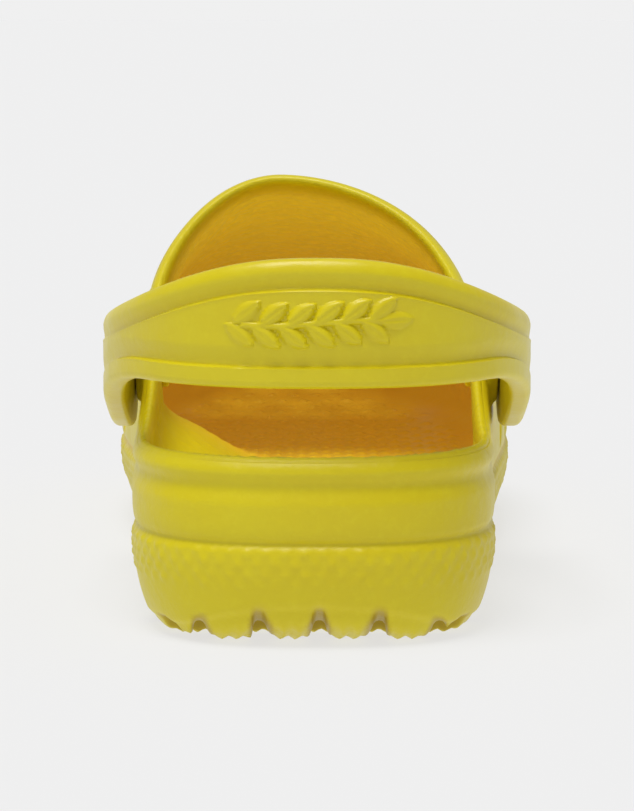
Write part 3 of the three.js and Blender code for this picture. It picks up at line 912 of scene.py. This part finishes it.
def make_cap(name, side):
    bore = STEM_RADIUS + CLEARANCE
    pocket = bore + BARB
    face = CAP_SEAT - CLEARANCE
    step = CAP_INSIDE + 1.5
    round_edge = 0.9
    profile = [
        (bore, face),
        (bore, step),
        (pocket, step),
        (pocket, CAP_INSIDE + 0.25),
        (pocket + 0.25, CAP_INSIDE),
        (CAP_RADIUS * 0.55, CAP_INSIDE),
        (CAP_RADIUS * 0.6, CAP_INSIDE + 0.25),
        (CAP_RADIUS * 0.66, CAP_INSIDE + 0.25),
        (CAP_RADIUS * 0.71, CAP_INSIDE),
        *arc_points((CAP_RADIUS - round_edge, CAP_INSIDE + round_edge), round_edge, -90, 0, 9),
        (CAP_RADIUS, face - 0.25),
        (CAP_RADIUS - 0.25, face),
        (bore + 0.01, face),
    ]
    made = lathe(name, profile, side)
    made.data.set_sharp_from_angle(angle=math.radians(50))
    return made


# ---- Materials ----


class Nodes:
    """Short names for the node work of one material."""

    def __init__(self, name):
        self.material = bpy.data.materials.new(name)
        self.material.use_nodes = True
        self.tree = self.material.node_tree
        self.shader = self.tree.nodes["Principled BSDF"]
        self.place = self.tree.nodes.new("ShaderNodeTexCoord").outputs["Object"]

    def add(self, kind, inputs=None, **settings):
        node = self.tree.nodes.new(kind)
        for key, value in settings.items():
            setattr(node, key, value)
        for key, value in (inputs or {}).items():
            if isinstance(value, bpy.types.NodeSocket):
                self.tree.links.new(value, node.inputs[key])
            else:
                node.inputs[key].default_value = value
        return node

    def math(self, operation, *values):
        return self.add("ShaderNodeMath", dict(enumerate(values)), operation=operation).outputs[0]

    def attribute(self, name):
        return self.add("ShaderNodeAttribute", attribute_name=name).outputs["Fac"]

    def noise(self, scale, detail=3.0, rough=0.5):
        inputs = {"Vector": self.place, "Scale": scale, "Detail": detail, "Roughness": rough}
        return self.add("ShaderNodeTexNoise", inputs).outputs["Fac"]

    def remap(self, value, low, high, to_low=0.0, to_high=1.0):
        inputs = {"Value": value, "From Min": low, "From Max": high, "To Min": to_low, "To Max": to_high}
        return self.add("ShaderNodeMapRange", inputs).outputs["Result"]

    def blend(self, share, first, second):
        node = self.add("ShaderNodeMix", data_type="RGBA")
        colours = [s for s in node.inputs if s.type == "RGBA"]
        for socket, value in zip((node.inputs[0], *colours), (share, first, second)):
            if isinstance(value, bpy.types.NodeSocket):
                self.tree.links.new(value, socket)
            else:
                socket.default_value = value
        return [s for s in node.outputs if s.type == "RGBA"][0]

    def bump(self, height, distance, strength=1.0, normal=None):
        inputs = {"Height": height, "Distance": distance, "Strength": strength}
        if normal is not None:
            inputs["Normal"] = normal
        return self.add("ShaderNodeBump", inputs).outputs["Normal"]

    def wire(self, **inputs):
        for key, value in inputs.items():
            socket = self.shader.inputs[key.replace("_", " ").title().replace("Ior", "IOR")]
            if isinstance(value, bpy.types.NodeSocket):
                self.tree.links.new(value, socket)
            else:
                socket.default_value = value


YELLOW = (0.71, 0.60, 0.006, 1)
DEEP_YELLOW = (0.68, 0.55, 0.005, 1)
PALE_YELLOW = (0.74, 0.64, 0.011, 1)


def foam_skin(n, rough, grain):
    """Colour, roughness and fine skin shared by the foam parts."""
    drift = n.noise(22, 2)
    mottle = n.noise(420, 4, 0.6)
    colour = n.blend(n.remap(drift, 0.35, 0.68), YELLOW, DEEP_YELLOW)
    colour = n.blend(n.remap(mottle, 0.5, 0.8, 0, 0.5), colour, PALE_YELLOW)
    smudge = n.noise(75, 4, 0.6)
    roughness = n.remap(smudge, 0.3, 0.7, rough - 0.05, rough + 0.07)
    pores = n.noise(2600, 3, 0.55)
    swell = n.noise(330, 2, 0.5)
    height = n.math("ADD", n.math("MULTIPLY", pores, 0.25 * grain), n.math("MULTIPLY", swell, grain))
    return colour, roughness, height


def clog_foam():
    n = Nodes("clog_foam")
    colour, roughness, height = foam_skin(n, 0.38, 1.0)
    outside = n.attribute("outside")
    lining = n.attribute("lining")
    below = n.attribute("below_rim")
    off_line = n.math("ABSOLUTE", n.math("SUBTRACT", below, 2.3))
    parting = n.math("MULTIPLY", n.remap(off_line, 0.10, 0.32, 1, 0), n.remap(outside, 0.2, 0.6))
    cells = n.add("ShaderNodeTexVoronoi", {"Vector": n.place, "Scale": 420.0}, feature="SMOOTH_F1")
    blows = cells.outputs["Distance"]
    blow_height = n.math("MULTIPLY", n.math("MULTIPLY", blows, -1.6), lining)
    height = n.math("ADD", height, blow_height)
    parting = n.math("MULTIPLY", parting, n.remap(n.noise(45, 2), 0.42, 0.56, 0.25, 1))
    height = n.math("SUBTRACT", height, n.math("MULTIPLY", parting, 0.8))
    # Painted bounce light: the inside of the upper is tinted orange to stand in for light bounced round the
    # yellow cavity.
    colour = n.blend(n.attribute("painted_bounce"), colour, (0.86, 0.60, 0.022, 1))
    # Painted shade: the tread notches are darkened brown, as shade falls in them.
    colour = n.blend(n.math("MULTIPLY", n.attribute("painted_notch_shade"), 0.7), colour, (0.40, 0.26, 0.006, 1))
    # Painted shade: the parting line is darkened as well as sunk, painting the shade in its crease.
    colour = n.blend(n.math("MULTIPLY", parting, 0.3), colour, (0.42, 0.28, 0.01, 1))
    normal = n.bump(height, 0.00022)
    # Painted glow: an emission on the inside of the upper, brighter higher up, stands in for light bounced
    # inside and let through the thin foam; the foam is no lamp.
    painted_bounce = n.attribute("painted_bounce")
    painted_glow = n.blend(n.remap(n.attribute("up"), 30, 85), (0.055, 0.027, 0.005, 1), (0.115, 0.12, 0.01, 1))
    painted_glow = n.blend(painted_bounce, (0, 0, 0, 1), painted_glow)
    n.wire(base_color=colour, roughness=roughness, normal=normal, emission_color=painted_glow, emission_strength=1.0)
    n.shader.inputs["Specular IOR Level"].default_value = 0.36
    return n.material


def strap_foam():
    n = Nodes("strap_foam")
    colour, roughness, height = foam_skin(n, 0.34, 0.7)
    normal = n.bump(height, 0.0002)
    n.wire(base_color=colour, roughness=roughness, normal=normal)
    n.shader.inputs["Specular IOR Level"].default_value = 0.4
    return n.material


def rivet_plastic():
    n = Nodes("rivet_plastic")
    drift = n.noise(60, 2)
    colour = n.blend(n.remap(drift, 0.35, 0.65), (0.80, 0.64, 0.012, 1), (0.74, 0.56, 0.012, 1))
    rub = n.noise(900, 4, 0.6)
    roughness = n.remap(rub, 0.35, 0.7, 0.26, 0.40)
    normal = n.bump(n.noise(1500, 2), 0.00005)
    n.wire(base_color=colour, roughness=roughness, normal=normal)
    return n.material


# ---- Stage, light and camera ----


def add_stage():
    floor_mesh = bpy.data.meshes.new("floor")
    reach = 60
    corners = [(-reach, -reach, 0), (reach, -reach, 0), (reach, reach, 0), (-reach, reach, 0)]
    floor_mesh.from_pydata(corners, [], [(0, 1, 2, 3)])
    floor = bpy.data.objects.new("floor", floor_mesh)
    bpy.context.collection.objects.link(floor)
    n = Nodes("floor")
    n.wire(base_color=(0.17, 0.17, 0.172, 1), roughness=0.9)
    n.wire(emission_color=(1, 1, 1, 1), emission_strength=0.69)
    n.shader.inputs["Specular IOR Level"].default_value = 0.0
    floor_mesh.materials.append(n.material)


def add_sun(name, strength, angle, direction, colour=(1, 1, 1)):
    data = bpy.data.lights.new(name, "SUN")
    data.energy = strength
    data.angle = math.radians(angle)
    data.color = colour
    lamp = bpy.data.objects.new(name, data)
    bpy.context.collection.objects.link(lamp)
    lamp.rotation_mode = "QUATERNION"
    lamp.rotation_quaternion = Vector(direction).to_track_quat("Z", "Y")


def add_light():
    world = bpy.data.worlds.new("studio")
    bpy.context.scene.world = world
    world.use_nodes = True
    tree = world.node_tree
    background = tree.nodes["Background"]
    place = tree.nodes.new("ShaderNodeTexCoord")
    split = tree.nodes.new("ShaderNodeSeparateXYZ")
    ramp = tree.nodes.new("ShaderNodeMapRange")
    tree.links.new(place.outputs["Generated"], split.inputs[0])
    tree.links.new(split.outputs["Z"], ramp.inputs["Value"])
    ramp.inputs["From Min"].default_value = 0.03
    ramp.inputs["From Max"].default_value = 0.25
    ramp.inputs["To Min"].default_value = 0.87
    ramp.inputs["To Max"].default_value = 0.36
    # The room is a little dimmer behind the camera than behind the clog.
    dimmer = tree.nodes.new("ShaderNodeMapRange")
    tree.links.new(split.outputs["Y"], dimmer.inputs["Value"])
    dimmer.inputs["From Min"].default_value = -0.8
    dimmer.inputs["From Max"].default_value = 0.8
    dimmer.inputs["To Min"].default_value = 0.8
    dimmer.inputs["To Max"].default_value = 1.0
    product = tree.nodes.new("ShaderNodeMath")
    product.operation = "MULTIPLY"
    tree.links.new(ramp.outputs["Result"], product.inputs[0])
    tree.links.new(dimmer.outputs["Result"], product.inputs[1])
    tree.links.new(product.outputs[0], background.inputs["Strength"])
    background.inputs["Color"].default_value = (1, 1, 1, 1)
    add_sun("overhead", 2.2, 30, (-0.12, -0.25, 1))
    add_sun("front", 0.15, 60, (-0.4, -1, 0.5))


def add_camera():
    data = bpy.data.cameras.new("camera")
    data.sensor_width = 36
    data.lens = 142
    data.clip_start = 0.05
    data.clip_end = 200
    camera = bpy.data.objects.new("camera", data)
    bpy.context.collection.objects.link(camera)
    aim = Vector(to_frame((STRAP_OFFSET, 0, 54.9)))
    place = Vector(to_frame((STRAP_OFFSET, -694.8, 140.2)))
    camera.location = place
    camera.rotation_mode = "QUATERNION"
    camera.rotation_quaternion = (aim - place).to_track_quat("-Z", "Y")
    bpy.context.scene.camera = camera


bpy.context.scene.view_settings.view_transform = "Standard"
add_camera()
add_light()
add_stage()

foam = clog_foam()
band_foam = strap_foam()
plastic = rivet_plastic()

shell = make_shell()
shell.data.materials.append(foam)
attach(shell, "clog")
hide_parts("clog_shell")

strap = make_strap()
strap.data.materials.append(band_foam)
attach(strap, "strap")
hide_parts("heel_strap")

for word, side in (("outer", 1), ("inner", -1)):
    for kind, make in (("button", make_button), ("cap", make_cap)):
        rivet = make(f"snap_{kind}_{word}", side)
        rivet.data.materials.append(plastic)
        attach(rivet, f"{word}_rivet")
        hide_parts(f"rivet_{kind}_{word}_side")
